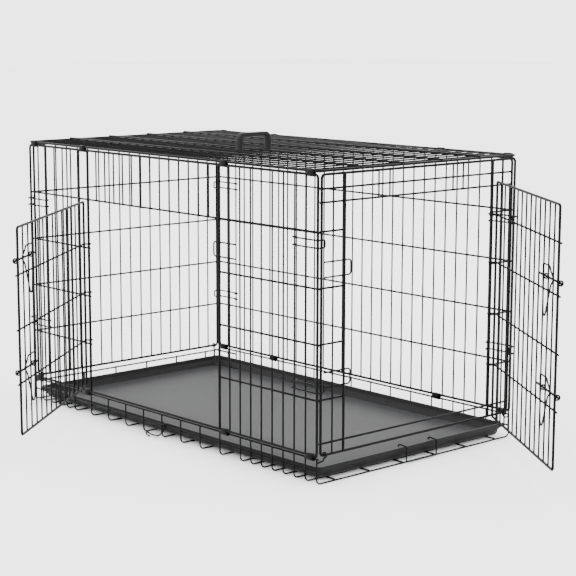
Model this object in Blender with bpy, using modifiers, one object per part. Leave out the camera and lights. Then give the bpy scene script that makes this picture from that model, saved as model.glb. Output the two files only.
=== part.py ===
"""Folding wire dog crate with two doors, a plastic tray and a carry handle.

Metres, +Z up. The origin is on the ground, under the middle of the floor grid. +X is the end
with the end door, -Y is the long side with the side door. Both doors stand open, as used.
"""

import math

import bmesh
import bpy
from mathutils import Matrix, Vector

# Overall sizes
LENGTH = 1.220  # between the end wires of a long side
WIDTH = 0.710  # between the planes of the two long sides
PANEL_BOTTOM = 0.0715  # height of the panels' bottom wires
PANEL_TOP = 0.7535  # height of the panels' top wires
ROOF_RISE = 0.0085  # roof frame above the panels' top wires

# Wire spacing
LONG_GAPS = 30  # spaces between upright wires along a long side
END_GAPS = 18  # spaces between upright wires across an end
BAYS = 5  # spaces between rows of a panel
ROOF_BAYS = 5
END_INSET = 0.012  # end panels stand this far inside the planes of the long sides

# Wire radii
FINE_RADIUS = 0.0016
ROW_RADIUS = 0.0021
FRAME_RADIUS = 0.0027
FLOOR_RADIUS = 0.0020
LOOP_RADIUS = 0.0017
BOLT_RADIUS = 0.0026
BEND_RADIUS = 0.009
BITE = 0.0004  # how deep two crossing wires are welded into each other
OVERHANG = 0.0020  # how far a welded wire's end stands past the last wire it crosses
NUDGE = 0.0003  # keeps upright wires off the exact middle of the frame wire they end in
GAP = 0.0003  # between pieces that touch
PLAY = 0.0006  # round a wire that turns in an eye

# Floor grid
FLOOR_EVERY = [*range(6), *range(7, 24, 2), *range(24, 31)]  # cross wires, counted in gaps
FLOOR_RUNS = 6  # wires along the length, on top of the cross wires
UPSTAND_TOP = 0.0630
UPSTAND_MIDDLE = 0.0330
BACK_RAIL = 0.0550
CORNER_EYE_INSET = 0.0140  # corner eye from the end panel's edge wire

# Door openings and doors
SIDE_HINGE_GAP = 7  # the side door's hinge post, counted in gaps from the back end
OPENING_GAPS = 14  # both openings are this many gaps wide
END_SIDE_GAPS = 2  # gaps beside the end opening
LINTEL_DROPS = (0.0345, 0.0670)  # wires over the end opening, below the panel's top wire
SILL_RISE = 0.0280  # lower edge of the end opening, above the panel's bottom wire
LINTEL_TIES = (3, 4)  # upright ties over the end opening, in gaps from the middle
SIDE_DOOR_LAP = 0.0157  # free edge past the opening's other post
SIDE_DOOR_BOTTOM = 0.0935
SIDE_DOOR_TOP_DROP = 0.0040  # below the row over the opening
END_DOOR_LAP = 0.0144
END_DOOR_BOTTOM = 0.0740
END_DOOR_TOP_DROP = 0.0545  # below the panel's top wire
DOOR_HINGE_EDGE = 0.016  # door's hinge-side wire from the hinge post
DOOR_UPRIGHTS = 13  # fine wires of a door, at the gap of its panel
DOOR_STUB = 0.006  # row ends past the free edge
SIDE_ROW_LIFT = 0.0130  # side door's rows above the panel's rows
END_ROW_LIFTS = (0.0055, 0.0055, 0.0055, -0.0065)
SIDE_DOOR_OPEN = 51.4  # degrees from closed
END_DOOR_OPEN = 56.3

# Latches and keepers
SIDE_BOLT_HEIGHTS = (0.2505, 0.5300)
END_BOLT_HEIGHTS = (0.2480, 0.5170)
BOLT_REACH = 0.005  # bolt end past the door's free edge, drawn back
SIDE_BOLT_TAIL = 0.034  # bolt end past the inner guide eye
END_BOLT_TAIL = 0.055
EYE_UPRIGHT = 2  # the inner guide eye is on this upright, counted back from the last
SIDE_LOOP_BACK = 0.024  # handle loop starts this far behind the inner guide eye
END_LOOP_BACK = 0.036
LOOP_TOP = 0.026
LOOP_DEPTH = 0.098
KEEPER_LIFT = 0.008  # keeper's middle above the bolt
KEEPER_HALF = 0.0185
KEEPER_INTO = 0.024  # closed end into the opening
KEEPER_OUT = 0.064  # legs past the post

# Corner hooks
HOOK_HEIGHTS = (0.239, 0.590)
HOOK_HALF = 0.0095
HOOK_GAPS = 2  # pivot upright, counted from the corner
HOOK_ROOM = 0.0005  # between the legs and the side's end wire
HOOK_PAST = 0.0075  # closed end past the corner wire

# Sheet clips that join neighbouring wires
CLIP_LENGTH = 0.024
CLIP_WALL = 0.0012
CLIP_BACK_GAPS = (0.58, 6.5, 23.5, 29.42)
CLIP_FRONT_GAPS = (0.58, 6.5, 21.5, 29.42)

# Tray
TRAY_SIDE_ROOM = 0.0130  # between the tray's rim and the upstands
TRAY_END_ROOM = 0.0080
TRAY_HEIGHT = 0.0280
TRAY_WALL = 0.0030
TRAY_FACING = 1.0  # the wall grows up and inward from the outer surface
TRAY_LIP = 0.0075
TRAY_TAPER = 0.0060
TRAY_CORNER = 0.017
TRAY_CLIP_MIDDLE = 0.006
TRAY_CLIP_HALF = 0.055

# Carry handle
HANDLE_LENGTH = 0.117
HANDLE_HEIGHT = 0.050
HANDLE_THICK = 0.018
HANDLE_BAR = 0.013
HANDLE_LEG = 0.012
HANDLE_MIDDLE = -0.062
HANDLE_GAPS = 16  # the cross wire it turns on, counted from the back end
HANDLE_FOOT = 0.0065

DIAMOND = math.sqrt(math.pi / 2)  # half diagonal of a square with the area of a circle of radius 1
pitch = LENGTH / LONG_GAPS
endWidth = WIDTH - 2 * END_INSET
endPitch = endWidth / END_GAPS
bay = (PANEL_TOP - PANEL_BOTTOM) / BAYS
rowHeights = [PANEL_BOTTOM + bay * i for i in range(1, BAYS)]
roofHeight = PANEL_TOP + ROOF_RISE
rowOffset = DIAMOND * (FINE_RADIUS + ROW_RADIUS) - BITE
floorHalf = FLOOR_RADIUS * DIAMOND / math.sqrt(2)
runHeight = 2 * floorHalf + FLOOR_RADIUS * DIAMOND - BITE
trayBase = runHeight + FLOOR_RADIUS * DIAMOND + GAP
doorOffset = DIAMOND * 2 * FRAME_RADIUS + 0.0015
doorRow = doorOffset + rowOffset
boltOffset = doorOffset + DIAMOND * FRAME_RADIUS + BOLT_RADIUS * 1.09 + GAP
loopOffset = boltOffset + BOLT_RADIUS + DIAMOND * LOOP_RADIUS - 0.0006
sideDoorWidth = OPENING_GAPS * pitch + SIDE_DOOR_LAP
endDoorWidth = OPENING_GAPS * endPitch + END_DOOR_LAP
hookStand = DIAMOND * (FRAME_RADIUS + LOOP_RADIUS) + HOOK_ROOM


def clearScene():
    for obj in list(bpy.data.objects):
        bpy.data.objects.remove(obj)


def newCollection(name):
    collection = bpy.data.collections.new(name)
    bpy.context.scene.collection.children.link(collection)
    return collection


def material(name, colour, roughness, metallic):
    made = bpy.data.materials.new(name)
    made.use_nodes = True
    shader = made.node_tree.nodes["Principled BSDF"]
    shader.inputs["Base Color"].default_value = (*colour, 1)
    shader.inputs["Roughness"].default_value = roughness
    shader.inputs["Metallic"].default_value = metallic
    return made


def meshOf(obj):
    """The object's evaluated mesh in world space, with doubled points welded."""
    graph = bpy.context.evaluated_depsgraph_get()
    mesh = bpy.data.meshes.new_from_object(obj.evaluated_get(graph))
    mesh.transform(obj.matrix_world)
    work = bmesh.new()
    work.from_mesh(mesh)
    bmesh.ops.remove_doubles(work, verts=work.verts, dist=1e-6)
    work.to_mesh(mesh)
    work.free()
    return mesh


def wires(paths, radius, closed=False, flat=False, sides=0):
    """Wires along the paths as one mesh. A wire has four sides, edge up, or face up when flat."""
    curve = bpy.data.curves.new("wire", "CURVE")
    curve.dimensions = "3D"
    curve.twist_mode = "MINIMUM"
    curve.bevel_depth = radius if sides else radius * DIAMOND
    curve.bevel_resolution = sides
    curve.use_fill_caps = True
    for path in paths:
        spline = curve.splines.new("POLY")
        spline.points.add(len(path) - 1)
        for point, place in zip(spline.points, path):
            point.co = (*place, 1)
            point.tilt = math.pi / 4 if flat else 0
        spline.use_cyclic_u = closed
    obj = bpy.data.objects.new("wire", curve)
    bpy.context.scene.collection.objects.link(obj)
    bpy.context.view_layer.update()
    mesh = meshOf(obj)
    bpy.data.objects.remove(obj)
    return mesh


def united(meshes, operation="UNION"):
    """One mesh from the first and the others, by exact Booleans."""
    first = bpy.data.objects.new("joined", meshes[0])
    bpy.context.scene.collection.objects.link(first)
    others = []
    for mesh in meshes[1:]:
        other = bpy.data.objects.new("joining", mesh)
        bpy.context.scene.collection.objects.link(other)
        modifier = first.modifiers.new("join", "BOOLEAN")
        modifier.operation = operation
        modifier.solver = "EXACT"
        modifier.object = other
        others.append(other)
    bpy.context.view_layer.update()
    mesh = meshOf(first)
    for obj in [first, *others]:
        bpy.data.objects.remove(obj)
    return mesh


def piece(name, mesh, finish, origin=(0, 0, 0), turn=0.0):
    """A named part. Its mesh is in its own frame, which is then turned about Z and moved."""
    mesh.materials.clear()
    mesh.materials.append(finish)
    obj = bpy.data.objects.new(name, mesh)
    obj.location = origin
    obj.rotation_euler = (0, 0, turn)
    partsCollection.objects.link(obj)
    return obj


def rounded(width0, width1, height0, height1, radius, steps=2):
    """A rectangle's outline with round corners, anticlockwise."""
    points = []
    corners = [
        (width1 - radius, height0 + radius, -90),
        (width1 - radius, height1 - radius, 0),
        (width0 + radius, height1 - radius, 90),
        (width0 + radius, height0 + radius, 180),
    ]
    for x, y, start in corners:
        for i in range(steps + 1):
            angle = math.radians(start + 90 * i / steps)
            points.append((x + radius * math.cos(angle), y + radius * math.sin(angle)))
    return points


def ring(centre, across, up, radius, count=8):
    """Points round a circle in the plane of the directions across and up."""
    points = []
    for i in range(count):
        angle = 2 * math.pi * (i + 0.5) / count
        points.append(centre + radius * (math.cos(angle) * across + math.sin(angle) * up))
    return points


class Plane:
    """A panel's plane: u runs across it, v up it and n out of it."""

    def __init__(self, origin, across, out, up=(0, 0, 1)):
        self.origin = Vector(origin)
        self.across = Vector(across)
        self.out = Vector(out)
        self.up = Vector(up)

    def at(self, u, n, v):
        return self.origin + u * self.across + n * self.out + v * self.up

    def loop(self, u0, u1, v0, v1, n=0.0, radius=BEND_RADIUS):
        return [self.at(u, n, v) for u, v in rounded(u0, u1, v0, v1, radius)]

    def upright(self, u, v0, v1, n=NUDGE):
        return [self.at(u, n, v0), self.at(u, n, v1)]

    def row(self, v, u0, u1, n=-rowOffset):
        return [self.at(u0, n, v), self.at(u1, n, v)]


def keeperPaths(plane, post, side, heights):
    """U-shaped keepers behind the post, closed end in the opening. side is +1 if the opening is at smaller u."""
    depth = -DIAMOND * (FINE_RADIUS + LOOP_RADIUS) + BITE
    bend = 0.007
    paths = []
    for height in heights:
        middle = height + KEEPER_LIFT
        low, high = middle - KEEPER_HALF, middle + KEEPER_HALF
        inner = post - side * KEEPER_INTO
        outer = post + side * KEEPER_OUT
        shape = [
            (outer, low),
            (inner + side * bend, low),
            (inner, low + bend),
            (inner, high - bend),
            (inner + side * bend, high),
            (outer, high),
        ]
        paths.append([plane.at(u, depth, v) for u, v in shape])
    return paths


def longSide(name, plane, opening):
    """A long side, with the side door's opening and its keepers when asked."""
    reach = LENGTH / 2
    hingePost = -reach + SIDE_HINGE_GAP * pitch
    freePost = hingePost + OPENING_GAPS * pitch
    frame = [plane.loop(-reach, reach, PANEL_BOTTOM, PANEL_TOP)]
    fine = []
    posts = []
    for i in range(1, LONG_GAPS):
        u = -reach + i * pitch
        inOpening = opening and SIDE_HINGE_GAP < i < SIDE_HINGE_GAP + OPENING_GAPS
        bottom = rowHeights[-1] - OVERHANG if inOpening else PANEL_BOTTOM
        isPost = opening and i in (SIDE_HINGE_GAP, SIDE_HINGE_GAP + OPENING_GAPS)
        (posts if isPost else fine).append(plane.upright(u, bottom, PANEL_TOP))
    ends = reach + OVERHANG
    rows = [plane.row(rowHeights[-1], -ends, ends)]
    for height in rowHeights[:-1]:
        if opening:
            rows.append(plane.row(height, -ends, hingePost + OVERHANG))
            rows.append(plane.row(height, freePost - OVERHANG, ends))
        else:
            rows.append(plane.row(height, -ends, ends))
    meshes = [wires(frame, FRAME_RADIUS, closed=True), wires(fine, FINE_RADIUS)]
    if posts:
        meshes.append(wires(posts, FRAME_RADIUS))
    meshes.append(wires(rows, ROW_RADIUS))
    if opening:
        meshes.append(wires(keeperPaths(plane, freePost, 1, SIDE_BOLT_HEIGHTS), LOOP_RADIUS))
    return piece(name, united(meshes), steel)


def backEnd(plane):
    """The closed end, with its origin on the bottom wire that it folds about."""
    reach = endWidth / 2
    frame = [plane.loop(-reach, reach, PANEL_BOTTOM, PANEL_TOP)]
    fine = [plane.upright(-reach + i * endPitch, PANEL_BOTTOM, PANEL_TOP) for i in range(1, END_GAPS)]
    rows = [plane.row(height, -reach - OVERHANG, reach + OVERHANG) for height in rowHeights]
    meshes = [wires(frame, FRAME_RADIUS, closed=True), wires(fine, FINE_RADIUS), wires(rows, ROW_RADIUS)]
    return onAxis("back_end", united(meshes), steel, (-LENGTH / 2, 0, PANEL_BOTTOM))


def frontEnd(plane):
    """The end with the end door's opening, its lintel wires and keepers."""
    reach = endWidth / 2
    post = reach - END_SIDE_GAPS * endPitch
    sill = PANEL_BOTTOM + SILL_RISE
    lintel = PANEL_TOP - LINTEL_DROPS[-1]
    frame = [plane.loop(-reach, reach, PANEL_BOTTOM, PANEL_TOP)]
    fine = [plane.upright(side * (reach - endPitch), PANEL_BOTTOM, PANEL_TOP) for side in (-1, 1)]
    for gaps in LINTEL_TIES:
        for side in (-1, 1):
            fine.append(plane.upright(side * gaps * endPitch, lintel - OVERHANG, PANEL_TOP))
    posts = [plane.upright(side * post, PANEL_BOTTOM, PANEL_TOP) for side in (-1, 1)]
    ends = reach + OVERHANG
    rows = [plane.row(height, -ends, ends) for height in [sill, *(PANEL_TOP - drop for drop in LINTEL_DROPS)]]
    for height in rowHeights:
        rows.append(plane.row(height, -ends, -post + OVERHANG))
        rows.append(plane.row(height, post - OVERHANG, ends))
    meshes = [
        wires(frame, FRAME_RADIUS, closed=True),
        wires(fine, FINE_RADIUS),
        wires(posts, FRAME_RADIUS),
        wires(rows, ROW_RADIUS),
        wires(keeperPaths(plane, -post, -1, END_BOLT_HEIGHTS), LOOP_RADIUS),
    ]
    return onAxis("front_end", united(meshes), steel, (LENGTH / 2, 0, PANEL_BOTTOM))


def onAxis(name, mesh, finish, axis):
    """A part whose mesh is in world space, given an origin on its axis."""
    mesh.transform(Matrix.Translation(-Vector(axis)))
    return piece(name, mesh, finish, axis)


def roof():
    """The roof: fine cross wires, and thicker ones along the length on top of them."""
    x, y = LENGTH / 2, WIDTH / 2
    flat = Plane((0, 0, roofHeight), (1, 0, 0), (0, 0, 1), (0, 1, 0))
    frame = [flat.loop(-x, x, -y, y)]
    fine = [flat.upright(-x + i * pitch, -y, y) for i in range(1, LONG_GAPS)]
    rows = [
        flat.row(-y + i * WIDTH / ROOF_BAYS, -x - OVERHANG, x + OVERHANG, rowOffset + NUDGE)
        for i in range(1, ROOF_BAYS)
    ]
    meshes = [wires(frame, FRAME_RADIUS, closed=True), wires(fine, FINE_RADIUS), wires(rows, ROW_RADIUS)]
    return piece("roof", united(meshes), steel)


def cornerEye(end, side):
    """Eye round an end panel's bottom wire, and its stalk to the floor grid."""
    y = side * (endWidth / 2 - CORNER_EYE_INSET)
    axis = Vector((end * LENGTH / 2, y, PANEL_BOTTOM))
    radius = DIAMOND * (FRAME_RADIUS + LOOP_RADIUS) + PLAY
    eye = ring(axis, Vector((1, 0, 0)), Vector((0, 0, 1)), radius)
    x = end * (LENGTH / 2 + 3 * NUDGE)
    low = PANEL_BOTTOM - radius
    if end < 0:
        return eye, [(x, y + NUDGE / 3, low), (x, y + side * 0.003, BACK_RAIL)]
    stalk = [
        (x, y + NUDGE / 3, low),
        (x, y + side * 0.006, low - 0.008),
        (x, side * (WIDTH / 2 + OVERHANG), low - 0.010),
    ]
    return eye, stalk


def floorGrid():
    """Cross wires turned up at both long sides, and six wires along the length turned up at the back."""
    x, y = LENGTH / 2, WIDTH / 2
    bend = 0.008
    cross = []
    for gaps in FLOOR_EVERY:
        place = -x + gaps * pitch
        half = [
            (y, UPSTAND_TOP + OVERHANG),
            (y, floorHalf + bend),
            (y - bend * 0.3, floorHalf + bend * 0.3),
            (y - bend, floorHalf),
        ]
        path = [(place, side, up) for side, up in half]
        path += [(place, -side, up) for side, up in reversed(half)]
        cross.append(path)
    outside = floorHalf + DIAMOND * FLOOR_RADIUS - BITE
    rails = []
    for height in (UPSTAND_MIDDLE, UPSTAND_TOP):
        for side in (-1, 1):
            rails.append([(-x - OVERHANG, side * (y - outside), height), (x + OVERHANG, side * (y - outside), height)])
    runs = []
    back = -x - DIAMOND * FLOOR_RADIUS - floorHalf + BITE
    for i in range(FLOOR_RUNS):
        place = -y + (i + 0.5) * WIDTH / FLOOR_RUNS
        runs.append([
            (x + OVERHANG, place, runHeight),
            (back + bend * 2, place, runHeight),
            (back + bend, place, runHeight),
            (back + bend * 0.3, place, runHeight + bend * 0.3),
            (back, place, runHeight + bend),
            (back, place, BACK_RAIL + OVERHANG),
        ])
    railOffset = back + 2 * DIAMOND * FLOOR_RADIUS - BITE
    backRail = [[(railOffset, -y + 0.004, BACK_RAIL), (railOffset, y - 0.004, BACK_RAIL)]]
    eyes = [cornerEye(end, side) for end in (-1, 1) for side in (-1, 1)]
    meshes = [
        wires(cross, FLOOR_RADIUS, flat=True),
        wires(rails, FLOOR_RADIUS),
        wires(runs, FLOOR_RADIUS),
        wires(backRail, FLOOR_RADIUS),
        wires([stalk for _, stalk in eyes], LOOP_RADIUS),
        wires([eye for eye, _ in eyes], LOOP_RADIUS, closed=True),
    ]
    return piece("floor_grid", united(meshes), steel)


def door(name, width, bottom, top, gap, heights, boltHeights, outward, hinge, turn):
    """A door in its own frame: hinge post on the Z axis, X to the free edge, outward is the sign of Y."""
    plane = Plane((0, 0, 0), (1, 0, 0), (0, outward, 0))
    frame = [plane.loop(DOOR_HINGE_EDGE, width, bottom, top, doorOffset, 0.007)]
    uprights = [DOOR_HINGE_EDGE + (i + 1) * gap for i in range(DOOR_UPRIGHTS)]
    fine = [plane.upright(u, bottom, top, doorOffset + NUDGE) for u in uprights]
    eyeRadius = DIAMOND * (FRAME_RADIUS + LOOP_RADIUS) + PLAY
    rows, hingeEyes, guideEyes = [], [], []
    for height in heights:
        rows.append([
            plane.at(0, eyeRadius, height),
            plane.at(0.0035, doorRow, height),
            plane.at(DOOR_HINGE_EDGE, doorRow, height),
            plane.at(width + DOOR_STUB, doorRow, height),
        ])
        hingeEyes.append(ring(plane.at(0, 0, height), plane.across, plane.out, eyeRadius))
    guideRadius = BOLT_RADIUS * 1.09 + PLAY + DIAMOND * LOOP_RADIUS
    for height in boltHeights:
        for u in (uprights[-1 - EYE_UPRIGHT], width):
            guideEyes.append(ring(plane.at(u, boltOffset, height), plane.out, plane.up, guideRadius))
    meshes = [
        wires(frame, FRAME_RADIUS, closed=True),
        wires(fine, FINE_RADIUS),
        wires(rows, ROW_RADIUS),
        wires(hingeEyes, LOOP_RADIUS, closed=True),
        wires(guideEyes, LOOP_RADIUS, closed=True),
    ]
    return piece(name, united(meshes), steel, hinge, turn)


def latch(name, width, gap, height, tail, loopBack, outward, hinge, turn):
    """Slide bolt, drawn back, with its handle loop: a yoke above the bolt and a long narrow loop below."""
    inner = DOOR_HINGE_EDGE + (DOOR_UPRIGHTS - EYE_UPRIGHT) * gap - width
    plane = Plane((width, 0, 0), (1, 0, 0), (0, outward, 0))
    bolt = [[plane.at(inner - tail, boltOffset, height), plane.at(BOLT_REACH, boltOffset, height)]]
    left = inner - loopBack
    outline = [
        (left, 0.004),
        (left + 0.001, LOOP_TOP * 0.55),
        (left - 0.001, LOOP_TOP),
        (left + 0.052, LOOP_TOP),
        (left + 0.060, LOOP_TOP * 0.62),
        (left + 0.084, -0.001),
        (left + 0.062, -0.018),
        (left + 0.026, -LOOP_DEPTH + 0.006),
        (left + 0.020, -LOOP_DEPTH),
        (left + 0.012, -LOOP_DEPTH),
        (left + 0.007, -LOOP_DEPTH + 0.007),
        (left + 0.001, -0.020),
    ]
    loop = [[plane.at(u, loopOffset, height + v) for u, v in outline]]
    mesh = united([wires(bolt, BOLT_RADIUS, sides=2), wires(loop, LOOP_RADIUS, closed=True)])
    return piece(name, mesh, steel, hinge, turn)


def cornerHook(name, end, side, height):
    """U-shaped hook with eyes round the second upright; its closed end reaches round the corner."""
    pivot = Vector((end * (LENGTH / 2 - HOOK_GAPS * pitch), side * WIDTH / 2, height))
    plane = Plane((0, 0, 0), (end, 0, 0), (0, side, 0))
    eyeRadius = DIAMOND * (FINE_RADIUS + LOOP_RADIUS) + PLAY
    corner = HOOK_GAPS * pitch + HOOK_PAST
    inside = -END_INSET - 0.0045
    half = [
        (0, eyeRadius),
        (0.005, hookStand),
        (corner - 0.004, hookStand),
        (corner, hookStand - 0.004),
        (corner, inside),
    ]
    path = [plane.at(u, n, HOOK_HALF) for u, n in half]
    path += [plane.at(u, n, -HOOK_HALF) for u, n in reversed(half)]
    centre = NUDGE * side * Vector((0, 1, 0))
    level = HOOK_HALF - NUDGE / 3
    eyes = [ring(centre + Vector((0, 0, v)), plane.across, plane.out, eyeRadius) for v in (-level, level)]
    mesh = united([wires([path], LOOP_RADIUS), wires(eyes, LOOP_RADIUS, closed=True)])
    return piece(name, mesh, steel, pivot)


def clip(name, first, second, along):
    """Sheet band round two parallel wires. first and second are their centres; along is the wires' direction."""
    first, second, along = Vector(first), Vector(second), Vector(along)
    reach = (second - first) / 2
    axis = reach.normalized()
    side = axis.cross(along)
    middle = (first + second) / 2
    inner = (DIAMOND * FRAME_RADIUS + GAP) / math.cos(math.pi / 8)
    bands = []
    for radius, half in ((inner + CLIP_WALL, CLIP_LENGTH / 2), (inner, CLIP_LENGTH)):
        outline = []
        for end in (1, -1):
            for i in range(5):
                angle = math.radians(-90 + 45 * i)
                out = end * math.cos(angle) * axis + end * math.sin(angle) * side
                outline.append(middle + end * reach.length * axis + radius * out)
        bands.append(prism(outline, along * half))
    return piece(name, united(bands, "DIFFERENCE"), clipSteel)


def prism(outline, half):
    """A closed solid: the outline carried from one side of its plane to the other."""
    work = bmesh.new()
    face = work.faces.new([work.verts.new(point - half) for point in outline])
    made = bmesh.ops.extrude_face_region(work, geom=[face])
    moved = [v for v in made["geom"] if isinstance(v, bmesh.types.BMVert)]
    bmesh.ops.translate(work, verts=moved, vec=2 * half)
    bmesh.ops.recalc_face_normals(work, faces=work.faces)
    mesh = bpy.data.meshes.new("prism")
    work.to_mesh(mesh)
    work.free()
    return mesh


def tray():
    """Moulded tray: a tapered pan whose rim turns outward and down."""
    x = LENGTH / 2 - TRAY_END_ROOM
    y = WIDTH / 2 - floorHalf - TRAY_SIDE_ROOM
    work = bmesh.new()
    rings = [
        (TRAY_LIP + TRAY_TAPER, 0.0),
        (TRAY_LIP + TRAY_TAPER / 2, TRAY_HEIGHT * 0.5),
        (TRAY_LIP * 0.55, TRAY_HEIGHT * 0.5 + 0.003),
        (TRAY_LIP * 0.45, TRAY_HEIGHT),
        (0.0, TRAY_HEIGHT),
        (0.0, TRAY_HEIGHT - 0.008),
    ]
    loops = []
    for inset, height in rings:
        outline = rounded(-x + inset, x - inset, -y + inset, y - inset, TRAY_CORNER - inset * 0.5, 3)
        loops.append([work.verts.new((u, v, trayBase + height)) for u, v in outline])
    work.faces.new(loops[0])
    for low, high in zip(loops, loops[1:]):
        for i in range(len(low)):
            j = (i + 1) % len(low)
            work.faces.new((low[i], low[j], high[j], high[i]))
    bmesh.ops.recalc_face_normals(work, faces=work.faces)
    mesh = bpy.data.meshes.new("tray")
    work.to_mesh(mesh)
    work.free()
    obj = piece("tray", mesh, plastic)
    wall = obj.modifiers.new("wall", "SOLIDIFY")
    wall.thickness = TRAY_WALL
    wall.offset = TRAY_FACING
    wall.use_even_offset = True
    return obj


def trayClip():
    """U-shaped wire clip: hooks over the tray's front wall, bar in front of the floor's end wire."""
    front = LENGTH / 2 + floorHalf + 0.005
    rim = trayBase + TRAY_HEIGHT + TRAY_WALL + DIAMOND * LOOP_RADIUS + 0.001
    inside = LENGTH / 2 - TRAY_END_ROOM - TRAY_LIP - TRAY_WALL - DIAMOND * LOOP_RADIUS - 0.001
    half = [
        (inside, rim - 0.004),
        (inside, rim),
        (inside + 0.006, rim + 0.003),
        (front - 0.003, rim + 0.001),
        (front, rim - 0.004),
        (front, 0.0045),
    ]
    path = [(x, TRAY_CLIP_MIDDLE - TRAY_CLIP_HALF, z) for x, z in half]
    path += [(x, TRAY_CLIP_MIDDLE + TRAY_CLIP_HALF, z) for x, z in reversed(half)]
    axis = (inside + 0.006, TRAY_CLIP_MIDDLE, rim)
    return onAxis("tray_clip", wires([path], LOOP_RADIUS), steel, axis)


def foldHook():
    """Small hook that holds the folded crate shut, hanging from the middle rail of the front upstand."""
    axis = Vector((0.010, -(WIDTH / 2 - floorHalf - DIAMOND * FLOOR_RADIUS + BITE), UPSTAND_MIDDLE))
    radius = DIAMOND * (FLOOR_RADIUS + LOOP_RADIUS) + PLAY
    eye = ring(Vector((0, 0, 0)), Vector((0, 1, 0)), Vector((0, 0, 1)), radius)
    hang = [
        (0, 0, -radius),
        (-0.002, -0.006, -0.014),
        (-0.012, -0.014, -0.0260),
        (-0.034, -0.016, -0.0270),
        (-0.046, -0.016, -0.0265),
        (-0.053, -0.018, -0.0225),
        (-0.052, -0.026, -0.0220),
        (-0.043, -0.030, -0.0255),
        (-0.030, -0.030, -0.0270),
    ]
    mesh = united([wires([hang], LOOP_RADIUS), wires([eye], LOOP_RADIUS, closed=True)])
    return piece("fold_hook", mesh, steel, axis)


def handle():
    """Moulded carry handle whose two feet turn on the roof's middle cross wire."""
    y0, y1 = -HANDLE_LENGTH / 2, HANDLE_LENGTH / 2
    top = HANDLE_HEIGHT
    grip = top - HANDLE_BAR
    outer = [(y0, -HANDLE_FOOT), (y0 + 0.004, top - 0.010), (y0 + 0.012, top), (y1 - 0.012, top)]
    outer += [(y1 - 0.004, top - 0.010), (y1, -HANDLE_FOOT), (y1 - HANDLE_LEG, -HANDLE_FOOT)]
    outer += [(y1 - HANDLE_LEG - 0.004, grip - 0.008), (y1 - HANDLE_LEG - 0.012, grip)]
    outer += [(y0 + HANDLE_LEG + 0.012, grip), (y0 + HANDLE_LEG + 0.004, grip - 0.008)]
    outer += [(y0 + HANDLE_LEG, -HANDLE_FOOT)]
    body = prism([Vector((0, y, z)) for y, z in outer], Vector((HANDLE_THICK / 2, 0, 0)))
    work = bmesh.new()
    bore = DIAMOND * FINE_RADIUS + PLAY
    bmesh.ops.create_cone(
        work, cap_ends=True, segments=8, radius1=bore, radius2=bore, depth=HANDLE_LENGTH * 1.5,
        matrix=Matrix.Translation((0, 0, NUDGE)) @ Matrix.Rotation(math.pi / 2, 4, "X"),
    )
    cutter = bpy.data.meshes.new("bore")
    work.to_mesh(cutter)
    work.free()
    mesh = united([body, cutter], "DIFFERENCE")
    obj = piece("carry_handle", mesh, plastic, (-LENGTH / 2 + HANDLE_GAPS * pitch, HANDLE_MIDDLE, roofHeight))
    edges = obj.modifiers.new("edges", "BEVEL")
    edges.width = 0.0015
    edges.segments = 1
    edges.limit_method = "ANGLE"
    edges.angle_limit = math.radians(50)
    return obj


clearScene()
partsCollection = newCollection("wire_dog_crate")
steel = material("black_steel", (0.012, 0.012, 0.013), 0.38, 0.0)
clipSteel = material("clip_steel", (0.015, 0.015, 0.016), 0.45, 0.6)
plastic = material("black_plastic", (0.030, 0.030, 0.032), 0.55, 0.0)

floorGrid()
longSide("front_side", Plane((0, -WIDTH / 2, 0), (1, 0, 0), (0, -1, 0)), True)
longSide("back_side", Plane((0, WIDTH / 2, 0), (1, 0, 0), (0, 1, 0)), False)
backEnd(Plane((-LENGTH / 2, 0, 0), (0, 1, 0), (-1, 0, 0)))
frontEnd(Plane((LENGTH / 2, 0, 0), (0, 1, 0), (1, 0, 0)))
roof()

sideHinge = (-LENGTH / 2 + SIDE_HINGE_GAP * pitch, -WIDTH / 2 - NUDGE, 0)
endHinge = (LENGTH / 2 + NUDGE, endWidth / 2 - END_SIDE_GAPS * endPitch, 0)
sideTurn = -math.radians(SIDE_DOOR_OPEN)
endTurn = math.radians(END_DOOR_OPEN - 90)
sideTop = rowHeights[-1] - SIDE_DOOR_TOP_DROP
sideRows = [height + SIDE_ROW_LIFT for height in rowHeights[:-1]]
endTop = PANEL_TOP - END_DOOR_TOP_DROP
endRows = [height + lift for height, lift in zip(rowHeights, END_ROW_LIFTS)]
sideSpan = (sideDoorWidth, SIDE_DOOR_BOTTOM, sideTop)
endSpan = (endDoorWidth, END_DOOR_BOTTOM, endTop)
door("side_door", *sideSpan, pitch, sideRows, SIDE_BOLT_HEIGHTS, -1, sideHinge, sideTurn)
door("end_door", *endSpan, endPitch, endRows, END_BOLT_HEIGHTS, 1, endHinge, endTurn)
sideLatch = (SIDE_BOLT_TAIL, SIDE_LOOP_BACK, -1, sideHinge, sideTurn)
endLatch = (END_BOLT_TAIL, END_LOOP_BACK, 1, endHinge, endTurn)
for place, height in zip(("lower", "upper"), SIDE_BOLT_HEIGHTS):
    latch(f"side_latch_{place}", sideDoorWidth, pitch, height, *sideLatch)
for place, height in zip(("lower", "upper"), END_BOLT_HEIGHTS):
    latch(f"end_latch_{place}", endDoorWidth, endPitch, height, *endLatch)

for endName, end in (("front", 1), ("back", -1)):
    for sideName, side in (("left", -1), ("right", 1)):
        for place, height in zip(("lower", "upper"), HOOK_HEIGHTS):
            cornerHook(f"hook_{endName}_{sideName}_{place}", end, side, height)

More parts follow.
